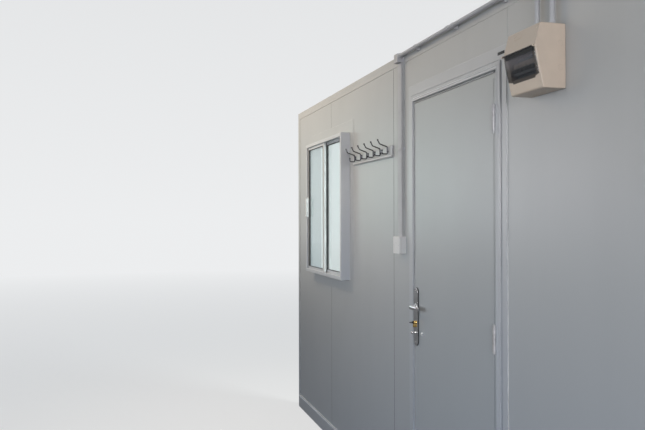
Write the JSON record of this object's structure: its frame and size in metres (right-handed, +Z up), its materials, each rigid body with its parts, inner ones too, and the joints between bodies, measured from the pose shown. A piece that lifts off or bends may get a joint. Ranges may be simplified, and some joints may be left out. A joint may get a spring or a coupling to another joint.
{
  "type": "portable site cabin side wall with door and window",
  "caption": "Side wall of a portable site cabin: insulated steel panels, sliding window, inward steel door with lever set, coat rail, switch and distribution board.",
  "frame": {"origin": "underside of the floor channel, middle of the wall's length and thickness", "axes": "+X along the wall towards its near end, -Y into the room, +Z up"},
  "size_m": [4.554, 0.2083, 2.4],
  "materials": {
    "panel_paint": "satin off-white baked paint on flat steel",
    "channel_paint": "satin off-white paint",
    "trim_paint": "satin white paint",
    "sill_steel": "brushed, lightly worn",
    "door_paint": "satin off-white paint",
    "hinge_steel": "zinc plated, satin",
    "chrome": "polished",
    "brass": "polished, slightly dull",
    "dark_metal": "dark plated, glossy",
    "grey_seal": "matte",
    "seal_rubber": "matte",
    "window_paint": "gloss white powder coat",
    "glass": "clear float glass with a faint green tint",
    "white_plastic": "smooth moulded",
    "conduit_plastic": "smooth extruded",
    "beige_plastic": "smooth moulded, warm beige",
    "smoked_plastic": "clear smoked, glossy",
    "breaker_plastic": "moulded grey",
    "sealant": "satin silicone"
  },
  "bodies": {
    "wall": {"corner_panel": "panel_paint", "window_panel": "panel_paint", "switch_panel": "panel_paint", "over_door_panel": "panel_paint", "board_panel": "panel_paint", "window_band": "panel_paint", "floor_channel_far": "channel_paint", "floor_channel_near": "channel_paint", "head_channel": "channel_paint", "end_channel_far": "channel_paint", "end_channel_near": "channel_paint", "lock_jamb": "trim_paint", "hinge_jamb": "trim_paint", "frame_head": "trim_paint", "skirting_far": "trim_paint", "skirting_near": "trim_paint", "coat_rail": "trim_paint", "door_sill": "sill_steel", "strike_plate": "sill_steel", "board_rail": "sill_steel", "frame_hinges": "hinge_steel", "coat_hooks": "dark_metal", "door_seal": "grey_seal", "window_frame": "window_paint", "sash_far": "window_paint", "sash_near": "window_paint", "window_flange": "window_paint", "window_glass": "glass", "window_latch": "white_plastic", "switch_box": "white_plastic", "switch_rocker": "white_plastic", "switch_trunking": "conduit_plastic", "conduit_box": "conduit_plastic", "ceiling_conduit": "conduit_plastic", "board_riser": "conduit_plastic", "conduit_saddles": "conduit_plastic", "board_back_box": "beige_plastic", "board_cover": "beige_plastic", "board_breakers": "breaker_plastic"},
    "door": {"door_core": "door_paint", "door_skin_inside": "door_paint", "door_skin_outside": "door_paint", "lock_forend": "sill_steel", "latch_bolt": "sill_steel", "plate_inside": "chrome", "plate_outside": "chrome", "lock_cylinder": "brass", "leaf_hinges": "hinge_steel"},
    "lever": {"lever_inside": "chrome", "lever_outside": "chrome"},
    "turn": {"thumb_turn": "dark_metal"},
    "flap": {"board_flap": "smoked_plastic"}
  },
  "joints": [
    {"name": "door_swing", "type": "hinge", "parent": "wall", "child": "door", "pos_m": [1.004, -0.046, 0], "axis": [0, 0, 1], "range_deg": [0, 120]},
    {"name": "lever_turn", "type": "hinge", "parent": "door", "child": "lever", "pos_m": [0.21, 0, 1.097], "axis": [0, 1, 0], "range_deg": [0, 45], "stiffness_Nm_per_rad": 1.2, "springref_deg": -34.38},
    {"name": "turn_knob", "type": "hinge", "parent": "door", "child": "turn", "pos_m": [0.21, -0.03, 1.019], "axis": [0, 1, 0], "range_deg": [0, 90]},
    {"name": "flap_lift", "type": "hinge", "parent": "wall", "child": "flap", "pos_m": [1.3535, -0.147, 2.111], "axis": [-1, 0, 0], "range_deg": [0, 110]}
  ]
}
